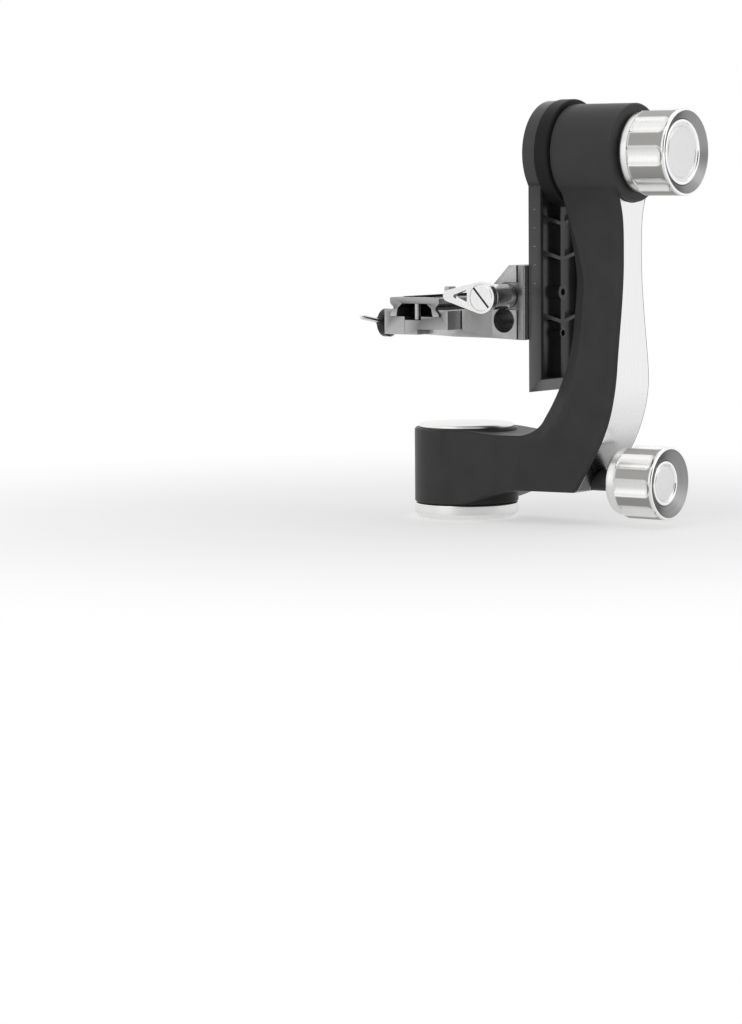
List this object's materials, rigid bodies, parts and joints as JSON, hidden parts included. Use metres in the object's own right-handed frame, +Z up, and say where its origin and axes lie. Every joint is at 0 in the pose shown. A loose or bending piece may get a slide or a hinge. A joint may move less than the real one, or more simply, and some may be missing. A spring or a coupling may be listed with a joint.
{
  "type": "gimbal tripod head",
  "caption": "Gimbal tripod head: C-shaped arm on a panning base, swing arm with sliding clamp platform, fluted silver lock knobs",
  "frame": {"origin": "centre of the base's bottom face, where the tripod's mounting plate meets it, on the pan axis", "axes": "+Z up along the pan axis, +X from the pan axis towards the upright and the two knobs, -Y the way the lens looks"},
  "size_m": [0.1756, 0.1076, 0.231],
  "materials": {
    "bare_aluminium": "turned and satin anodised, clear",
    "black_anodised": "fine satin black anodising on aluminium",
    "grey_anodised": "satin grey anodising",
    "steel": "plain machined steel",
    "brass": "turned",
    "rubber": "matte black",
    "black_plastic": "matte black brake lining"
  },
  "bodies": {
    "base": {"base_ring": "bare_aluminium", "pan_spindle": "steel", "pan_thrust_washer": "rubber", "spindle_screws": "steel", "pan_retaining_nut": "steel"},
    "arm": {"c_arm": "black_anodised", "pan_bearing_lower": "steel", "pan_bearing_upper": "steel", "pan_cap": "bare_aluminium", "pan_lock_collar": "black_anodised", "tilt_bearing_inner": "steel", "tilt_bearing_outer": "steel"},
    "pan_lock": {"pan_brake_pad": "brass"},
    "pan_lock_knob": {"pan_lock_screw": "steel", "pan_knob": "bare_aluminium", "pan_knob_cap": "bare_aluminium"},
    "swing_arm": {"tilt_hub": "black_anodised", "tilt_shaft": "steel", "swing_plate": "black_anodised", "hub_screws": "steel", "rail_stop_screws": "steel"},
    "tilt_lock": {"tilt_brake_disc": "black_plastic"},
    "tilt_lock_knob": {"tilt_knob": "bare_aluminium", "tilt_knob_cap": "bare_aluminium"},
    "carriage": {"platform_bracket": "grey_anodised", "clamp_base": "grey_anodised", "clamp_base_screws": "steel", "clamp_guide_pins": "steel"},
    "height_lock_jaw": {"height_jaw": "grey_anodised"},
    "height_lock_lever": {"height_lock_bolt": "steel", "height_lock_barrel": "bare_aluminium", "height_lever": "bare_aluminium", "height_lever_screw": "bare_aluminium"},
    "moving_jaw": {"clamp_jaw": "grey_anodised"},
    "jaw_lever": {"clamp_bolt": "steel", "clamp_lever": "bare_aluminium", "clamp_lever_screw": "bare_aluminium"},
    "plate": {"quick_release_plate": "grey_anodised", "plate_grip_strips": "rubber", "safety_pins": "steel"},
    "front_screw": {"front_camera_screw": "steel"},
    "rear_screw": {"rear_camera_screw": "steel"}
  },
  "joints": [
    {"name": "pan_turn", "type": "hinge", "parent": "base", "child": "arm", "pos_m": [0, 0, 0.0252], "axis": [0, 0, 1], "continuous": true},
    {"name": "pan_lock_travel", "type": "slide", "parent": "arm", "child": "pan_lock", "axis": [1, 0, 0], "range_m": [0, 0.00125]},
    {"name": "pan_knob_turn", "type": "hinge", "parent": "pan_lock", "child": "pan_lock_knob", "pos_m": [0.12, 0, 0.0244], "axis": [1, 0, 0], "range_deg": [0, 360]},
    {"name": "tilt_turn", "type": "hinge", "parent": "arm", "child": "swing_arm", "pos_m": [0.09, 0, 0.2018], "axis": [1, 0, 0], "continuous": true},
    {"name": "tilt_lock_travel", "type": "slide", "parent": "swing_arm", "child": "tilt_lock", "axis": [1, 0, 0], "range_m": [0, 0.00125]},
    {"name": "tilt_knob_turn", "type": "hinge", "parent": "tilt_lock", "child": "tilt_lock_knob", "pos_m": [0.13, 0, 0.2018], "axis": [1, 0, 0], "range_deg": [0, 360]},
    {"name": "height_slide", "type": "slide", "parent": "swing_arm", "child": "carriage", "axis": [0, 0, 1], "range_m": [-0.017, 0.022]},
    {"name": "height_jaw_travel", "type": "slide", "parent": "carriage", "child": "height_lock_jaw", "axis": [0, -1, 0], "range_m": [0, 0.00074995]},
    {"name": "height_lever_turn", "type": "hinge", "parent": "height_lock_jaw", "child": "height_lock_lever", "pos_m": [0.0462, -0.027, 0.1247], "axis": [0, -1, 0], "range_deg": [0, 180]},
    {"name": "clamp_jaw_travel", "type": "slide", "parent": "carriage", "child": "moving_jaw", "axis": [-1, 0, 0], "range_m": [0, 0.003]},
    {"name": "clamp_lever_turn", "type": "hinge", "parent": "moving_jaw", "child": "jaw_lever", "pos_m": [-0.0214, -0.034, 0.1092], "axis": [-1, 0, 0], "range_deg": [0, 720]},
    {"name": "plate_slide", "type": "slide", "parent": "carriage", "child": "plate", "axis": [0, 1, 0], "range_m": [-0.04, 0.04]},
    {"name": "front_screw_turn", "type": "hinge", "parent": "plate", "child": "front_screw", "pos_m": [0, -0.015, 0.122], "axis": [0, 0, 1], "continuous": true},
    {"name": "rear_screw_turn", "type": "hinge", "parent": "plate", "child": "rear_screw", "pos_m": [0, 0.015, 0.122], "axis": [0, 0, 1], "continuous": true}
  ],
  "couplings": [
    {"joint": "pan_knob_turn", "follows": "pan_lock_travel", "rad_per_m": 5026.5},
    {"joint": "tilt_knob_turn", "follows": "tilt_lock_travel", "rad_per_m": 5026.5},
    {"joint": "height_lever_turn", "follows": "height_jaw_travel", "rad_per_m": 4188.8},
    {"joint": "clamp_lever_turn", "follows": "clamp_jaw_travel", "rad_per_m": 4188.8}
  ]
}
